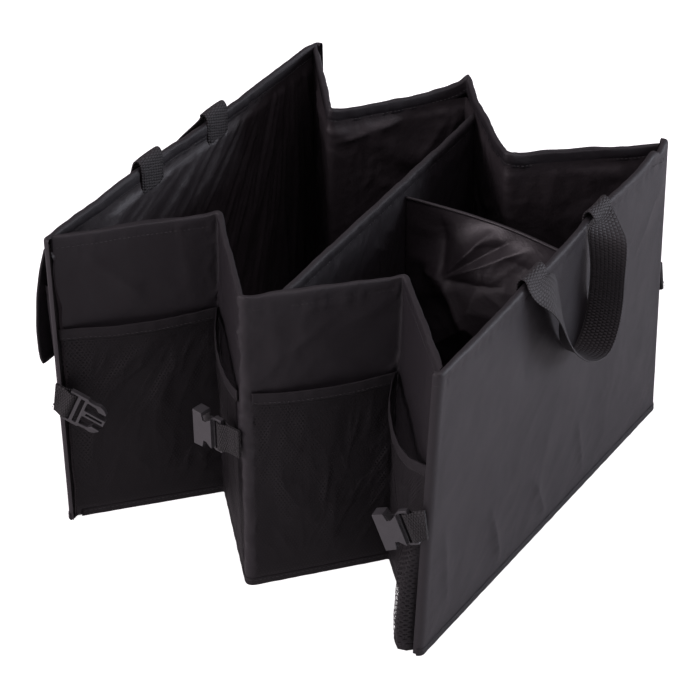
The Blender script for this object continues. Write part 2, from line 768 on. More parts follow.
for name, wall, seed, amount, details, lift in (
        ("front_panel", front_wall, 11, 0.8, front_details, front_lift),
        ("rear_panel", rear_wall, 12, 0.6, None, rear_lift)):
    cover(f"{name}_cloth", wall, HALF_PANEL, seed, amount, [f"{name}_cover"], details,
          lift=lift)
    foot_binding(f"{name}_binding", wall, HALF_PANEL, 2.5, wall.length - 2.5)


def rear_creases(u, z):
    """Streaks that fan from the rear panel's far top corner, as thin cloth pulled along the board."""
    fan = fan_creases(u, z, 21, (40, HEIGHT + 60), 6.5, 190)
    fine = crumple(u, z, 20, 22, 3.4, 0.25, octaves=2)
    return 1.1 * fan ** 1.3 + 0.2 * fine


lining("rear_panel_lining_cloth", panel_lining_wall(REAR_WALL), HALF_PANEL, ["rear_panel_lining"],
       rear_creases, height=2.8)
lining("front_panel_lining_cloth", panel_lining_wall(FRONT_WALL), HALF_PANEL, ["front_panel_lining"],
       soft_lining(24, -0.3))


# End walls
INSIDE_PANEL = -(cover_out(HALF_PANEL) + GAP)
INSIDE_LEAF = -(cover_out(HALF_LEAF) + GAP)


def end_wall(posts, before, after):
    first = corner((posts[0], posts[1]), 0, before, INSIDE_PANEL)
    last = corner((posts[3], posts[4]), 0, after, INSIDE_PANEL)
    return Wall([first, posts[1], posts[2], posts[3], last], 5.0, (course_of(before), course_of(after)))


near_wall = end_wall(NEAR_POSTS, REAR_WALL, FRONT_WALL)
far_wall = end_wall(FAR_POSTS, FRONT_WALL, REAR_WALL)


def crumpled_folds(wall, u, z, seed):
    """Crumples beside an end wall's folds, where the cloth has no board."""
    total = 0
    for i, place in enumerate(wall.starts[1:-1]):
        beside = bell(u - place, 12)
        total = total + 2.2 * beside * (crumple(u, z, 15, seed + i, 0.9) - 0.5)
    return total


def near_details(u, z):
    """Pinches at the first fold, gathers at the second, a pulled hem and two soft waves."""
    own = folds(u, z, ((127, 206), (146, 198), 2.5, 2.6), ((128, 196), (143, 187), 2.0, 2.0),
                ((244, 240), (258, 232), 2.6, 2.4), ((240, 228), (259, 222), 2.4, 2.0),
                ((300, HEIGHT - 15), (352, HEIGHT - 12), 2.5, 1.0),
                ((22, 250), (70, 196), 7.0, 1.3), ((282, 210), (330, 244), 7.0, 1.2))
    return crumpled_folds(near_wall, u, z, 60) + own


def far_details(u, z):
    return crumpled_folds(far_wall, u, z, 70)


def end_lift(wall, u, seed):
    """An end wall's top edge, a little higher at its folds."""
    raised = sum(1.6 * bell(u - place, 7) for place in wall.starts[1:-1])
    return edge_waves(u, seed) + raised - 1.0


def near_lift(u):
    return end_lift(near_wall, u, 79)


def far_lift(u):
    """The far end's middle fold stands up in a peak."""
    return end_lift(far_wall, u, 80) + 8.5 * np.exp(-np.abs(u - far_wall.starts[2]) / 13)


def near_flare(u, z):
    """At the foot of the front corner the near end's cloth stands out from the seam."""
    from_seam = near_wall.length - u
    return 16 * np.exp(-((from_seam - 12) / 24) ** 2 - (z / 105) ** 4) * smooth_step(from_seam, 1, 10)


def near_creases(u, z):
    return 1.25 * soft_lining(43, 0.5, 34, 1.6)(u, z)


def far_creases(u, z):
    """Thin cloth crumpled on every leaf, with one big three-cornered facet below the middle fold's peak."""
    peak, side = far_wall.starts[2], far_wall.starts[3]
    facet = folds(u, z, ((side - 36, 241), (side - 76, 200), 8.0, 1.3),
                  ((side - 76, 200), (peak + 15, 250), 11.0, 1.2),
                  ((side - 6, 238), (side - 66, 249), 5.0, 1.2),
                  ((peak + 12, 244), (peak + 22, 214), 4.0, 0.9))
    return 0.9 * soft_lining(44, 0.5, 38, 1.6)(u, z) + facet


for end, wall, details, lift, flare, creases, seed in (
        ("near", near_wall, near_details, near_lift, near_flare, near_creases, 13),
        ("far", far_wall, far_details, far_lift, no_flare, far_creases, 14)):
    cover(f"{end}_end_cloth", wall, HALF_LEAF, seed, 1.2, [f"{end}_end_cover"], details,
          lift=lift, flare=flare)
    foot_binding(f"{end}_end_binding", wall, HALF_LEAF, 4, wall.length - 4, flare)
    lining(f"{end}_end_lining_cloth", wall, HALF_LEAF, [f"{end}_end_lining"], creases, height=3.4)


# Middle divider: one cloth over its board, a little lower at the far end
DIVIDER_SET = 26
DIVIDER_DROP = (5, 14)


def on_leaf(start, towards):
    return start + unit(towards - start) * DIVIDER_SET


near_leaf, far_leaf = (MID_NEAR, CREASE_FRONT_NEAR), (CREASE_FRONT_FAR, MID_FAR)
divider_line = (on_leaf(*near_leaf), on_leaf(*far_leaf[::-1]))
divider_ends = [corner(divider_line, 0, leaf, INSIDE_LEAF) for leaf in (near_leaf, far_leaf)]
divider_wall = Wall(divider_ends, 3.0, (course_of(near_leaf[::-1]), course_of(far_leaf[::-1])))


def divider_scale(distance):
    """The divider's height along its length, as a share of the full height."""
    drop = DIVIDER_DROP[0] + (DIVIDER_DROP[1] - DIVIDER_DROP[0]) * distance / divider_wall.length
    return (HEIGHT - drop) / HEIGHT


def divider_cloth():
    outer = cover_out(HALF_PANEL)
    columns = divider_wall.columns(2.2)
    levels = np.arange(1.5, HEIGHT - outer - 1, 2.4)
    arc = np.linspace(0, math.pi, 9)
    side = np.concatenate([np.full(len(levels), outer), outer * np.cos(arc), np.full(len(levels), -outer)])
    z = np.concatenate([levels, HEIGHT - outer + outer * np.sin(arc), levels[::-1]])
    run = profile_run(side, z)
    side, z = side[None], z[None]
    out_side = np.sign(side) * np.minimum(np.abs(side) / outer, 1)
    out_z = np.sqrt(np.maximum(1 - out_side ** 2, 0))
    u = divider_wall.distance(columns)[:, None]
    crinkles = crumple(u + np.where(side > 0, 0, 500), z, 30, 51, 1.8, 0.6) ** 1.5 * 1.3
    seams = sum(-0.6 * bell(u - place, 1.3) for place in (96, 164))
    marks = folds(u, z, ((150, 236), (180, 214), 3.0, 1.4), ((172, 240), (196, 226), 2.5, 1.0))
    push = (crinkles + (seams + marks) * (side > 0)) * smooth_step(z, 3, 20)
    calm = 1 - 0.85 * smooth_step(z, HEIGHT - HEM - 6, HEIGHT - HEM)
    push = settled(push * calm + hem_press(u, z, 52))
    raised = z * divider_scale(u) + out_z * push + edge_waves(u, 53) * (z / HEIGHT) ** 3
    points = divider_wall.points(columns, raised, side + out_side * push)
    wear = 0.7 * bell(z - HEIGHT, 2.2) + 0 * u
    obj = build("middle_divider_cloth", points, grid_quads(*points.shape[:2]), paired(u, run[None]), wear)
    finish(obj, COVER, ["middle_divider_cover"])

    def stitched(sign):
        return seam_along(divider_wall, columns, lambda d: (HEIGHT - STITCH_DROP) * divider_scale(d),
                          lambda d, v: np.full(len(d), sign * (outer - 0.3)), sign=sign)

    stitches("middle_divider_stitches", *joined([stitched(1), stitched(-1)]))


divider_cloth()


# Cross divider: a single soft cloth, slack and creased from one pinch
CROSS_TOP = HEIGHT - 25
CROSS_SAG = 26
cross_line = (post((0, 37), (0, 37)), post((170, 17), (170, 17)))
cross_ends = (corner(cross_line, 0, divider_line, 0.5 - INSIDE_PANEL),
              corner(cross_line, 0, FRONT_WALL, INSIDE_PANEL - 0.5))
cross_wall = Wall(cross_ends, 3.0, (course_of(divider_line), course_of(FRONT_WALL)))


def cross_cloth():
    columns = cross_wall.columns(1.6)
    u = cross_wall.distance(columns)[:, None]
    share = u / cross_wall.length
    up = np.linspace(0, 1, 130)[None]
    foot = 24 + 104 * (1 - np.abs(2 * share - 1))
    sag_top = 4 * np.sin(np.pi * share)
    z = foot + (CROSS_TOP - sag_top - foot) * up
    hang = np.interp(up, [0, 0.3, 0.6, 0.84, 1], [0.5, 0.9, 0.4, -0.3, -0.55])
    slack = hang * CROSS_SAG * np.sin(np.pi * share)
    pinch = (44, 189)
    ray_ends = [(83, 152), (100, 196), (122, 236), (104, 238), (80, 239), (26, 242), (18, 184)]
    creases = sum(fold_line(u, z, pinch, end, 7.0, -5.5 if i % 2 else 6.0) for i, end in enumerate(ray_ends))
    peak = 11 * np.exp(-np.hypot((u - pinch[0]) / 28, (z - pinch[1]) / 22))
    small = (crumple(u, z, 70, 91, 1.4, 0.9, octaves=2) - 0.5) * 5.0
    free = np.sin(np.pi * np.clip(share, 0, 1)) ** 0.6 * (1 - 0.75 * smooth_step(up, 0.86, 0.99))
    push = slack + (creases + peak + small) * free
    half = 0.35
    sides = np.concatenate([push + half, (push - half)[:, ::-1]], axis=1)
    points = cross_wall.points(columns, np.concatenate([z, z[:, ::-1]], axis=1), sides)
    run = np.concatenate([up * 220, (2 - up[:, ::-1]) * 220], axis=1)
    edge = 0.8 * smooth_step(up, 0.992, 1.0)
    wear = np.concatenate([edge, edge[:, ::-1]], axis=1)
    obj = finish(closed("cross_divider_cloth", points, paired(u, run), wear), SATIN_CLOTH,
                 ["cross_divider"])
    rim = swept("cross_divider_hem", cross_wall, columns,
                push[:, -1:] + np.array([[-0.9, 0.9, 1.1, 0.9, -0.9, -1.1]]),
                z[:, -1:] + np.array([[-1.6, -1.6, -0.3, 0.9, 0.9, -0.3]]), 0.55)
    return obj, finish(rim, SATIN_CLOTH)


cross_piece, cross_rim = cross_cloth()


# Base cloths: folded up along the middle into a ridge, with gussets at both ends
LEAF_WIDTH = 130
SEAM_CLEAR = 0.45
GUSSET_CLEAR = 1.3
BASE_FLOOR = 1
in_panel = -(cover_out(HALF_PANEL) + SEAM_CLEAR)
in_leaf = -(cover_out(HALF_LEAF) + GUSSET_CLEAR)


def leaves(posts, *numbers):
    return [((posts[i], posts[i + 1]), in_leaf) for i in numbers]


def corners_between(sides):
    """Where each side of a compartment, moved in, meets the next one round it."""
    return [corner(*side, *following) for side, following in zip(sides, sides[1:] + sides[:1])]


rear_corners = corners_between([(REAR_WALL, in_panel), *leaves(NEAR_POSTS, 0, 1, 2),
                                (divider_line, in_panel), *leaves(FAR_POSTS, 1, 2, 3)])
front_corners = corners_between([(divider_line, -in_panel), *leaves(NEAR_POSTS, 2, 3),
                                 (FRONT_WALL, in_panel), *leaves(FAR_POSTS, 0, 1)])


def base_cloth(name, corners, crease_near, crease_far, run_width, seed):
    rise = math.sqrt(LEAF_WIDTH ** 2 - run_width ** 2)
    rim = [[*c[0], BASE_FLOOR] for c in corners]
    ridge = []
    for index, inward in ((crease_near, 3), (crease_far, -3)):
        place = between(corners[index][0], corners[index][1], rise / HEIGHT)
        ridge.append([place[0], place[1] + inward, rise])
    points = np.array(rim + ridge, float)
    points[:, :2] += CENTRE
    near_top, far_top = len(rim), len(rim) + 1
    turn = (crease_near + crease_far) // 2
    faces = []
    for i in range(len(rim)):
        following = (i + 1) % len(rim)
        if i == turn:
            faces += [[i, following, far_top, near_top]]
        elif i == len(rim) - 1:
            faces += [[i, following, near_top, far_top]]
        else:
            faces.append([i, following, near_top if i < turn else far_top])
    mesh = bpy.data.meshes.new(name)
    mesh.from_pydata((points * MM).tolist(), [], faces)
    shape = bmesh.new()
    shape.from_mesh(mesh)
    bmesh.ops.triangulate(shape, faces=shape.faces)
    long_edge = 7 * MM
    for _ in range(7):
        long = [e for e in shape.edges if e.calc_length() > long_edge]
        if not long:
            break
        bmesh.ops.subdivide_edges(shape, edges=long, cuts=1)
        bmesh.ops.triangulate(shape, faces=[f for f in shape.faces if len(f.verts) > 3])
    layer = shape.loops.layers.uv.new("cloth")
    for face in shape.faces:
        for loop in face.loops:
            loop[layer].uv = (loop.vert.co.x, loop.vert.co.y)
    shape.normal_update()
    spots = np.array([v.co for v in shape.verts]) / MM
    rough = (crumple(spots[:, 0], spots[:, 1], 34, seed, 1.5, 0.4) - 0.5) * 3.0
    room = smooth_step(spots[:, 2], 6, 30)
    for vert, push in zip(shape.verts, rough * room):
        vert.co += vert.normal * (push * MM)
    shape.to_mesh(mesh)
    shape.free()
    mesh.shade_smooth()
    obj = new_object(name, mesh)
    thick = obj.modifiers.new("cloth", "SOLIDIFY")
    thick.thickness = 0.7 * MM
    thick.offset = 0
    return obj


rear_base = base_cloth("rear_base_folded", rear_corners, 1, 6, 88, 101)
front_base = base_cloth("front_base_folded", front_corners, 1, 4, 76, 102)
finish(rear_base, INNER, ["rear_base_cloth"])
finish(front_base, INNER, ["front_base_cloth"])


# Net pockets on the outer faces of both end walls
FOLD_GAP = 6
NET_PITCH = 2.8
STRAND = 1.15


class Pocket:
    """A net pocket over two leaves: how far it hangs off them and how its top edge sags."""

    def __init__(self, name, wall, first_leaf, slack, sag, seed, flare=no_flare):
        self.name, self.wall, self.seed, self.flare = name, wall, seed, flare
        self.slack, self.sag = slack, sag
        self.start, self.middle, self.end = wall.starts[first_leaf:first_leaf + 3]
        self.lead = FOLD_GAP if first_leaf else 1.0
        self.trail = 1.0 if first_leaf else FOLD_GAP

    def shares(self, u):
        """Share of the way across the first leaf and across the second."""
        return (np.clip((u - self.start) / (self.middle - self.start), 0, 1),
                np.clip((u - self.middle) / (self.end - self.middle), 0, 1))

    def hang(self, u):
        low, high = self.shares(u)
        return self.slack[0] * np.sin(np.pi * low) + self.slack[1] * np.sin(np.pi * high)

    def top(self, u):
        low, high = self.shares(u)
        sag = 1.5 * np.sin(np.pi * low) + self.sag * np.sin(np.pi * high ** 2.2)
        return POCKET_TOP - sag + 0.5 * noise(u / 25, 0 * u, self.seed)

    def side(self, u, z):
        levels = [POCKET_FLOOR, POCKET_FLOOR + 45, POCKET_FLOOR + 110, POCKET_TOP - BINDING_HEIGHT]
        share = np.interp(z, levels, [0.0, 0.12, 0.7, 1.0])
        calm = 1 - 0.9 * smooth_step(z, POCKET_TOP - 45, POCKET_TOP - 8)
        free = smooth_step(z, POCKET_FLOOR, POCKET_FLOOR + 35) * calm
        ripple = (crumple(u, z, 46, self.seed, 2.2, 0.35) - 0.5) * 4.0 * free
        edges = smooth_step(u, self.start, self.start + 25) * smooth_step(self.end - u, 0, 25)
        away = cover_out(HALF_LEAF) + SEAM_PROUD + GAP
        return away + 0.4 + self.hang(u) * share + np.maximum(ripple, -0.6) * edges + self.flare(u, z)


def pocket(shape):
    wall, seed = shape.wall, shape.seed
    start, end = shape.start + shape.lead, shape.end - shape.trail
    rise = NET_PITCH * math.sqrt(3) / 2
    centres = []
    for row, z in enumerate(np.arange(POCKET_FLOOR + 1.5, POCKET_TOP - BINDING_HEIGHT + 2, rise)):
        shift = NET_PITCH / 2 if row % 2 else 0
        centres += [(u + shift, z) for u in np.arange(start + 1.2, end - 2.5, NET_PITCH)]
    centres = np.array(centres)
    turns = (np.arange(6) + 0.5) * math.pi / 3
    ring = np.stack([np.sin(turns), np.cos(turns)], axis=-1) * NET_PITCH / math.sqrt(3)
    inner = 1 - STRAND / NET_PITCH
    cells = np.stack([centres[:, None] + ring, centres[:, None] + ring * inner], axis=1)
    kept, index = np.unique(np.round(cells.reshape(-1, 2), 2), axis=0, return_inverse=True)
    index = index.reshape(-1, 2, 6)
    following = np.roll(index, -1, axis=2)
    quads = np.stack([index[:, 0], following[:, 0], following[:, 1], index[:, 1]], axis=-1)
    u, z = kept.T
    drop = (POCKET_TOP - shape.top(u)) * smooth_step(z, POCKET_TOP - 90, POCKET_TOP)
    points = wall.points(wall.column(u), (z - drop)[:, None], shape.side(u, z)[:, None])[:, 0]
    net = build(f"{shape.name}_mesh", points, quads.transpose(1, 0, 2).reshape(-1, 4), kept)
    finish(net, NET, [f"{shape.name}_net"])

    columns = wall.columns(2.0, start - 0.8, end + 0.8)
    along = wall.distance(columns)[:, None]
    rest = shape.side(along, np.full_like(along, POCKET_TOP - 3))
    profile = np.array([(-0.4, -BINDING_HEIGHT), (0.5, -BINDING_HEIGHT - 0.3), (0.75, -BINDING_HEIGHT + 0.8),
                        (0.8, -5), (0.8, -1.0), (0.5, -0.15), (0.1, 0), (-0.35, -0.3), (-0.6, -1.2),
                        (-0.6, -5)])
    gather = 0.15 * np.sin(along / 2.7 + 3 * noise(along / 30, 0 * along, seed))
    band = swept(f"{shape.name}_edge", wall, columns, rest + profile[None, :, 0] + gather,
                 shape.top(along) + profile[None, :, 1], 0.1)
    finish(band, BAND, [f"{shape.name}_binding"])
    seam = seam_along(wall, columns, lambda d: shape.top(d) - BINDING_HEIGHT + 1.8,
                      lambda d, v: shape.side(d, np.full_like(d, POCKET_TOP - 3)) + 0.85)
    stitches(f"{shape.name}_edge_stitches", *seam, 0.24)


pockets = [Pocket("near_rear_pocket", near_wall, 0, (5, 8), 5, 111),
           Pocket("near_front_pocket", near_wall, 2, (5, 15), 14, 112, near_flare),
           Pocket("far_front_pocket", far_wall, 0, (3, 13), 8, 113),
           Pocket("far_rear_pocket", far_wall, 2, (3, 12), 8, 114)]
for shape in pockets:
    pocket(shape)


# Rear pouch and flap
POUCH_FLOOR = 22
POUCH_TOP = HEIGHT - 54
POUCH_MARGIN = 8
POUCH_DEPTH = np.array([2.0, 13.5])
POUCH_FOOT = cover_out(HALF_PANEL) + SEAM_PROUD + GAP
FLAP_DROPS = [(3.2, 8), (12, 36), (17.5, 63), (20, 92), (19.5, 118), (17, 124)]
FLAP_MARGIN = 3


def on_rear(forward, sideways):
    way = course_of(REAR_WALL)
    base = REAR_WALL[1] if forward < 0 else REAR_WALL[0]
    return base + way * forward + right_of(way) * np.reshape(sideways, (-1, 1))


pouch_wall = Wall([on_rear(POUCH_MARGIN, POUCH_FOOT), on_rear(POUCH_MARGIN, POUCH_FOOT + POUCH_DEPTH),
                   on_rear(-POUCH_MARGIN, POUCH_FOOT + POUCH_DEPTH), on_rear(-POUCH_MARGIN, POUCH_FOOT)], 2.2)


def pouch_belly(distance, z):
    """How far the pouch's cloth stands out, with its creases."""
    face = smooth_step(distance, 10, 60) * smooth_step(pouch_wall.length - distance, 10, 60)
    share = np.clip((z - POUCH_FLOOR) / (POUCH_TOP - POUCH_FLOOR), 0, 1)
    rough = (crumple(distance, z, 46, 121, 1.6, 0.2) - 0.45) * 2.0
    return face * (2.2 * np.sin(np.pi * share) + rough)


def pouch():
    columns = pouch_wall.columns(3.0, fine=1.0, reach=16)
    levels = np.arange(POUCH_FLOOR, POUCH_TOP, 3.0)
    arc = np.linspace(0, math.pi, 7)
    half = CLOTH / 2
    side = np.concatenate([np.full(len(levels), CLOTH), half + half * np.cos(arc), np.zeros(len(levels))])
    z = np.concatenate([levels, POUCH_TOP + half * np.sin(arc), levels[::-1]])
    run = profile_run(side, z)
    u, z = pouch_wall.distance(columns)[:, None], z[None]
    seam = -0.5 * bell(z - (POUCH_TOP - 9), 1.2)
    points = pouch_wall.points(columns, z + 0 * u, side[None] + pouch_belly(u, z) + seam)
    wear = 0.6 * bell(z - POUCH_TOP, 2) + sum(0.25 * bell(u - place, 3) for place in pouch_wall.starts[1:-1])
    obj = closed("rear_pouch_cloth", points, paired(u, run[None]), wear)
    finish(obj, COVER, ["rear_pouch"])
    row = seam_along(pouch_wall, columns, POUCH_TOP - 9, lambda d, v: CLOTH + pouch_belly(d, v) - 0.35)
    stitches("rear_pouch_stitches", *row)
    band = np.array([(-1.0, -3), (1.5, -3), (1.9, -1), (1.9, 3), (1.4, 5), (-1.0, 5)])[None]
    foot = swept("rear_pouch_foot_tape", pouch_wall, columns, band[..., 0] + 0 * u,
                 POUCH_FLOOR + band[..., 1] + 0 * u, 0.12)
    finish(foot, TAPE)
    return obj


pouch_piece = pouch()
flap_wall = Wall([on_rear(FLAP_MARGIN, (0, 0)), on_rear(-FLAP_MARGIN, (0, 0))])


FLAP_HALF = 0.6


def smoothed(values):
    """Values with their corners rounded and their two ends kept."""
    values[3:-3] = np.convolve(values, np.ones(7) / 7, "valid")
    return values


def flap():
    """The flap hangs from its seam below the rear panel's top edge, bound on its three free edges."""
    outs, drops = np.array(FLAP_DROPS, float).T
    along = profile_run(outs, drops)
    run = np.linspace(0, along[-1], 56)
    out, drop = (smoothed(np.interp(run, along, values)) for values in (outs, drops))
    columns = flap_wall.columns(3.0)
    u = flap_wall.distance(columns)[:, None]
    hang = (run / along[-1])[None]
    waves = np.sin(u / 46 + 1.3 * noise(u / 90, 0 * u, 131))
    ripple = 1.6 * hang ** 2 * waves + 0.7 * hang * noise(u / 35, run[None] / 40, 132)
    face = out[None] + ripple - 0.5 * bell(run[None] - 6, 1.2) + FLAP_HALF
    z = HEIGHT - drop[None] + 0 * u
    side = np.concatenate([face + FLAP_HALF, (face - FLAP_HALF)[:, ::-1]], axis=1)
    points = flap_wall.points(columns, np.concatenate([z, z[:, ::-1]], axis=1), side)
    there_and_back = np.concatenate([run, 2 * along[-1] - run[::-1]])[None]
    obj = finish(closed("rear_flap_cloth", points, paired(u, there_and_back)), COVER, ["rear_flap"])
    n, m = face.shape
    path = [(0, j) for j in range(4, m)] + [(i, m - 1) for i in range(1, n - 1)]
    path += [(n - 1, j) for j in range(m - 1, 3, -1)]
    centre = flap_wall.points(columns, z, face)
    outer_way = unit(flap_wall.points(columns, z, face + 1) - centre)
    line, facing = (np.array([grid[i, j] for i, j in path]) for grid in (centre, outer_way))
    bound = closed("rear_flap_binding", *ribbon_round(line, facing, 3.6, 1.9), 0.15)
    return obj, finish(bound, TAPE)


def ribbon_round(line, facing, width, thickness):
    """A rounded tape folded over an edge that runs along a line: points and cloth coordinates."""
    course = unit(np.gradient(line, axis=0))
    across = unit(np.cross(facing, course))
    shape = [(0.5, 0.3), (0.38, 0.5), (0.0, 0.5), (-0.5, 0.46), (-0.5, -0.46), (0.0, -0.5), (0.38, -0.5),
             (0.5, -0.3)]
    return carried(line, across, np.cross(course, across), [(w * width, t * thickness) for w, t in shape])


flap_piece, flap_tape = flap()


# Handles: the same stations as the solids, drawn as one smooth webbing
HANDLE_SEWN = 21
HANDLE_HANG = {"front": 102, "rear": 100}
HANDLE_REACH = {"front": 19, "rear": 39}
HANDLE_ENDS = {"front": (-67, 49), "rear": (-58, 37)}
QUARTER = math.pi / 2
HANDLE_LOOP = {
    "front": [
        (0.05, 0.5, 0.93, -0.1, -QUARTER * 0.75), (0.12, 0.7, 0.84, -0.3, -QUARTER * 0.65),
        (0.18, 0.85, 0.7, -0.5, -QUARTER * 0.72), (0.25, 1, 0.49, -0.65, -QUARTER * 0.73),
        (0.32, 1, 0.33, -0.9, -QUARTER * 0.63), (0.45, 1, 0.147, -1.25, -QUARTER * 0.48),
        (0.62, 1, 0.01, -QUARTER, -QUARTER * 0.21), (0.76, 1, 0, -QUARTER, QUARTER * 0.23),
        (0.86, 1, 0.12, -QUARTER, QUARTER * 0.68), (0.905, 1, 0.33, -QUARTER, QUARTER * 0.93),
        (0.9, 1, 0.6, -QUARTER, QUARTER), (0.9, 0.9, 0.83, -1.2, QUARTER * 0.95),
        (0.94, 0.6, 0.95, -0.5, QUARTER * 0.85)],
    "rear": [
        (0.03, 0.6, 0.72, 0.55, -QUARTER * 0.97), (0.1, 0.85, 0.5, 1, -QUARTER * 0.86),
        (0.22, 1, 0.24, QUARTER, -QUARTER * 0.62), (0.36, 1, 0.07, QUARTER, -QUARTER * 0.35),
        (0.52, 1, 0, QUARTER, 0), (0.68, 1, 0.06, QUARTER, QUARTER * 0.35),
        (0.82, 1, 0.22, QUARTER, QUARTER * 0.7), (0.93, 0.85, 0.5, 1, QUARTER * 0.9),
        (0.98, 0.6, 0.72, 0.55, QUARTER * 0.97)]}


def smooth_line(points, samples):
    """Catmull-Rom curve through points, evenly sampled by station."""
    points = np.asarray(points, float)
    padded = np.concatenate([[2 * points[0] - points[1]], points, [2 * points[-1] - points[-2]]])
    chord = run_along(points[:, :3])
    targets = np.linspace(0, chord[-1], samples)
    i = np.clip(np.searchsorted(chord, targets, side="right") - 1, 0, len(points) - 2)
    t = ((targets - chord[i]) / (chord[i + 1] - chord[i]))[:, None]
    p0, p1, p2, p3 = (padded[i + k] for k in range(4))
    return 0.5 * (2 * p1 + (p2 - p0) * t + (2 * p0 - 5 * p1 + 4 * p2 - p3) * t ** 2
                  + (3 * p1 - p0 - 3 * p2 + p3) * t ** 3)


def handle_stations(which, wall_posts, side):
    edge = cover_out(HALF_PANEL) + GAP + WEBBING / 2
    ends, out, lowest = HANDLE_ENDS[which], HANDLE_REACH[which], HEIGHT - HANDLE_HANG[which]

    def panel_x(y, z):
        share = min(z / HEIGHT, 1)
        start, end = (p[0] + (p[1] - p[0]) * share for p in wall_posts)
        return start[0] + (end[0] - start[0]) * (y - start[1]) / (end[1] - start[1])

    def arm(y, turned):
        line = [(-edge, -HANDLE_SEWN, 0), (-edge, -16, 0), (-edge, 0, 0), (-edge * 0.8, 5, 0.5), (0, 8, 1.5),
                (edge * 1.1, 6, 2.3), (edge * 1.8, 0, 2.8)]
        return [((panel_x(y, HEIGHT + up) + side * d, y, HEIGHT + up), (0, turned, 0),
                 (math.cos(tilt), 0, -side * math.sin(tilt))) for d, up, tilt in line]

    loop = []
    for share, out_share, up, twist, slope in HANDLE_LOOP[which]:
        y = ends[0] + (ends[1] - ends[0]) * share
        z = lowest + (HEIGHT - lowest) * up
        way = np.array([0, math.cos(slope), math.sin(slope)])
        across = np.array([0, -math.sin(slope), math.cos(slope)]) * math.cos(twist)
        across = across + np.array([side, 0, 0]) * math.sin(twist)
        spot = (panel_x(y, z) + side * out * out_share, y, z)
        loop.append((spot, tuple(across), tuple(np.cross(across, way))))
    return arm(ends[0], 1) + loop + arm(ends[1], -1)[::-1]


def handle(which, wall_posts, side):
    stations = handle_stations(which, wall_posts, side)
    curve = smooth_line([[*at, *across, *facing] for at, across, facing in stations], 300)
    line = curve[:, :3] + [*CENTRE, 0]
    across = unit(curve[:, 3:6])
    facing = unit(np.cross(across, unit(np.gradient(line, axis=0))))
    half, width = WEBBING / 2, HANDLE_WIDTH / 2
    flat = np.linspace(width - 0.5, 0.5 - width, 12)
    rim = [(width - 0.1, half * 0.6), (width, 0), (width - 0.1, -half * 0.6)]
    shape = [(w, half) for w in flat] + [(-w, t) for w, t in rim]
    shape += [(w, -half) for w in flat[::-1]] + [(w, -t) for w, t in rim]
    cupped = [(w, t + 0.55 * (1 - (w / width) ** 2) - 0.3) for w, t in shape]
    obj = closed(f"{which}_handle_webbing", *carried(line, across, facing, cupped))
    finish(obj, STRAP, [f"{which}_handle"])
    sewn_box(which, line, across, facing)


def sewn_box(which, line, across, facing):
    """Crossed box of stitches at both sewn ends of a handle."""
    lists = ([], [], [])
    for end in (0, -1):
        ahead = unit(line[8] - line[0]) if end == 0 else unit(line[-9] - line[-1])
        at, wide, out = line[end], across[end], facing[end]
        inside = out if np.dot(out, [1, 0, 0]) * (1 if which == "rear" else -1) > 0 else -out
        half = HANDLE_WIDTH / 2 - 2.5
        corners = [(-half, 2.5), (half, 2.5), (half, 19), (-half, 19)]
        runs = [(0, 1), (1, 2), (2, 3), (3, 0), (0, 2), (1, 3)]
        for a, b in runs:
            (w0, h0), (w1, h1) = corners[a], corners[b]
            count = int(math.hypot(w1 - w0, h1 - h0) // 3.2)
            for k in range(count):
                t0, t1 = (k + 0.15) / count, (k + 0.85) / count
                for store, t in ((lists[0], t0), (lists[1], t1)):
                    spot = wide * (w0 + (w1 - w0) * t) + ahead * (h0 + (h1 - h0) * t)
                    store.append(at + spot + inside * (WEBBING / 2 + 0.12))
                lists[2].append(inside)
    stitches(f"{which}_handle_stitches", *lists, 0.32)


handle("front", FRONT_WALL, 1)
handle("rear", REAR_WALL, -1)


# Webbing tabs and buckles at the corners
RING_IN = 2.8
RING_OPEN = 2.2
BUCKLE_PLACES = {
    "rear": dict(z=126, step=(1, 11.7), length=12, pointing=1, yaw=14, droop=24),
    "middle": dict(z=138, step=(-1.5, 4.9), length=19, pointing=-1, yaw=12, droop=1),
    "front": dict(z=134, step=(1, 10.3), length=12, pointing=-1, yaw=-7, droop=22),
}


def tab_matrix(root, length, pointing, yaw, droop):
    turn = Matrix.Rotation(yaw if pointing > 0 else math.pi - yaw, 4, "Z")
    tip = Matrix.Rotation(droop, 4, "Y") @ Matrix.Translation((length, 0, 0))
    return Matrix.Translation(root) @ turn @ tip


def placed(matrix, points):
    """Points given along a bar, moved to where the bar stands upright."""
    upright = np.stack([points[:, 0], -points[:, 2], points[:, 1]], axis=-1)
    return np.array([matrix @ Vector(p) for p in upright]) + [*CENTRE, 0]


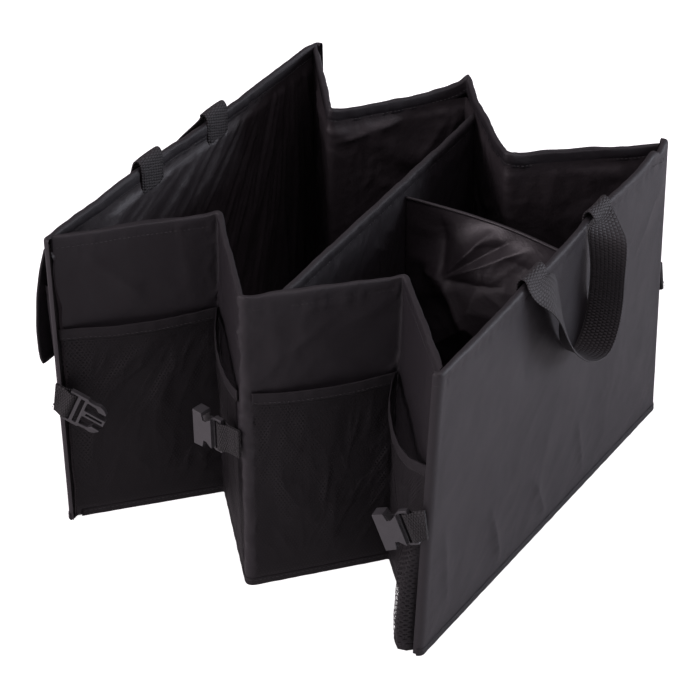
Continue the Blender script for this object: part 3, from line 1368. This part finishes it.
def tab(name, matrix, length, droop):
    """Webbing folded round the buckle's bar and sewn flat behind it, cut nearly upright at the seam."""
    radius = RING_IN + WEBBING / 2
    flat = WEBBING / 2 + 0.05
    arc = [(radius * math.cos(a), radius * math.sin(a)) for a in np.linspace(RING_OPEN, -RING_OPEN, 15)]
    back = [(-length, flat), (-9.5, flat), (-7, flat + 0.1)]
    path = [*back, *arc, *[(u, -w) for u, w in back[::-1]]]
    curve = smooth_line([(u, 0, w) for u, w in path], 64)
    course = unit(np.gradient(curve, axis=0))
    along_bar = np.array([0.0, 1.0, 0.0])
    half, width = WEBBING / 2 - 0.03, TAB_WIDTH / 2
    levels = np.linspace(width - 0.4, 0.4 - width, 8)
    shape = [*[(v, half) for v in levels], (-width, 0), *[(v, -half) for v in levels[::-1]], (width, 0)]
    ring, uv = carried(curve, along_bar, np.cross(along_bar, course), shape)
    sewn = smooth_step(-ring[..., 0], 6, length)
    ring[..., 0] -= 0.65 * math.tan(droop) * ring[..., 1] * sewn
    moved = placed(matrix, ring.reshape(-1, 3)).reshape(ring.shape)
    finish(closed(f"{name}_webbing", moved, uv), TAB, [name])
    starts = np.array([(u, v, side * (WEBBING + 0.1)) for u in (1.6 - length, 4.6 - length)
                       for v in np.arange(-width + 2, width - 3, 3.0) for side in (1, -1)])
    lengthwise, out = np.array([0, 2.1, 0]), np.sign(starts) * [0, 0, 1]
    first, last, above = (placed(matrix, points) for points in (starts, starts + lengthwise, starts + out))
    stitches(f"{name}_stitches", first, last, above - first, 0.28)


for end, y, ends in (("near", -1, {"rear": REAR_NEAR, "middle": MID_NEAR, "front": FRONT_NEAR}),
                     ("far", 1, {"rear": REAR_FAR, "middle": MID_FAR, "front": FRONT_FAR})):
    for place, data in BUCKLE_PLACES.items():
        spot = between(ends[place][0], ends[place][1], data["z"] / HEIGHT)
        root = (spot[0] + data["step"][0], spot[1] + y * data["step"][1], data["z"])
        yaw = math.radians(-y * data["yaw"])
        droop = math.radians(data["droop"])
        matrix = tab_matrix(root, data["length"], data["pointing"], yaw, droop)
        tab(f"{end}_{place}_tab", matrix, data["length"], droop)

for node_name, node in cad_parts.items():
    if node_name.endswith("_buckle"):
        node.data.materials.clear()
        node.data.materials.append(BUCKLE)
        weld = node.modifiers.new("weld", "WELD")
        weld.merge_threshold = 0.02 * MM
        flats = node.modifiers.new("flats", "DECIMATE")
        flats.decimate_type = "DISSOLVE"
        flats.angle_limit = math.radians(2)
        edges = node.modifiers.new("edges", "BEVEL")
        edges.width = 0.45 * MM
        edges.segments = 2
        edges.limit_method = "ANGLE"
        edges.angle_limit = math.radians(35)
        edges.harden_normals = True
    elif "_board" in node_name:
        node.data.materials.clear()
        node.data.materials.append(BOARD)


# Floor, lights and camera
FLOOR_GLOW = 0.86
WORLD_STRENGTH = 0.28
WORLD_TINT = (1.0, 0.88, 0.96)
WARM = (1.0, 0.88, 0.95)
COOL = (0.87, 0.9, 1.0)


def studio():
    floor = new_object("floor", bpy.data.meshes.new("floor"))
    floor.data.from_pydata([(-6, -6, 0), (6, -6, 0), (6, 6, 0), (-6, 6, 0)], [], [(0, 1, 2, 3)])
    material, nodes, shader = new_material("white_floor")
    shader.inputs["Base Color"].default_value = (0.82, 0.82, 0.82, 1)
    shader.inputs["Roughness"].default_value = 1.0
    shader.inputs["Specular IOR Level"].default_value = 0.0
    shader.inputs["Emission Color"].default_value = (1, 1, 1, 1)
    seen_floor = nodes.add("ShaderNodeLightPath").outputs["Is Camera Ray"]
    nodes.link(nodes.math("MULTIPLY", seen_floor, FLOOR_GLOW), shader.inputs["Emission Strength"])
    floor.data.materials.append(material)

    world = bpy.data.worlds.new("studio")
    bpy.context.scene.world = world
    world.use_nodes = True
    sky = Nodes(world.node_tree)
    background = world.node_tree.nodes["Background"]
    rays = sky.add("ShaderNodeLightPath")
    seen = sky.math("MAXIMUM", rays.outputs["Is Camera Ray"], rays.outputs["Is Transmission Ray"])
    sky.link(sky.mix(seen, WORLD_TINT, (1.0, 1.0, 1.0)), background.inputs["Color"])
    sky.link(sky.spread(seen, WORLD_STRENGTH, 1.0), background.inputs["Strength"])


def aim(obj, place, way):
    obj.location = place
    obj.rotation_euler = way.to_track_quat("-Z", "Y").to_euler()


def lamp(name, place, target, size, power, colour):
    light = bpy.data.lights.new(name, "AREA")
    light.shape = "RECTANGLE"
    light.size, light.size_y = size
    light.energy = power
    light.color = colour
    aim(new_object(name, light), place, Vector(target) - Vector(place))


studio()
lamp("key", (2.3, 1.3, 0.62), (0.1, 0, 0.15), (1.3, 0.9), 55, COOL)
lamp("fill", (-1.6, -2.2, 1.25), (0, 0, 0.15), (1.4, 1.0), 48, WARM)
lamp("top", (0.6, -0.4, 2.4), (0, 0, 0.1), (1.2, 1.2), 17, WARM)

CAMERA_PLACE = np.array([840.44, -1483.38, 1213.5]) + [*CENTRE, 0]
CAMERA_AZIMUTH = math.radians(30.13)
CAMERA_ELEVATION = math.radians(32.85)
camera_data = bpy.data.cameras.new("camera")
camera_data.lens = 126.3
camera_data.sensor_width = 36
level = math.cos(CAMERA_ELEVATION)
look = Vector((-math.sin(CAMERA_AZIMUTH) * level, math.cos(CAMERA_AZIMUTH) * level,
               -math.sin(CAMERA_ELEVATION)))
camera = new_object("camera", camera_data)
aim(camera, CAMERA_PLACE * MM, look)
bpy.context.scene.camera = camera
bpy.context.scene.view_settings.view_transform = "Standard"
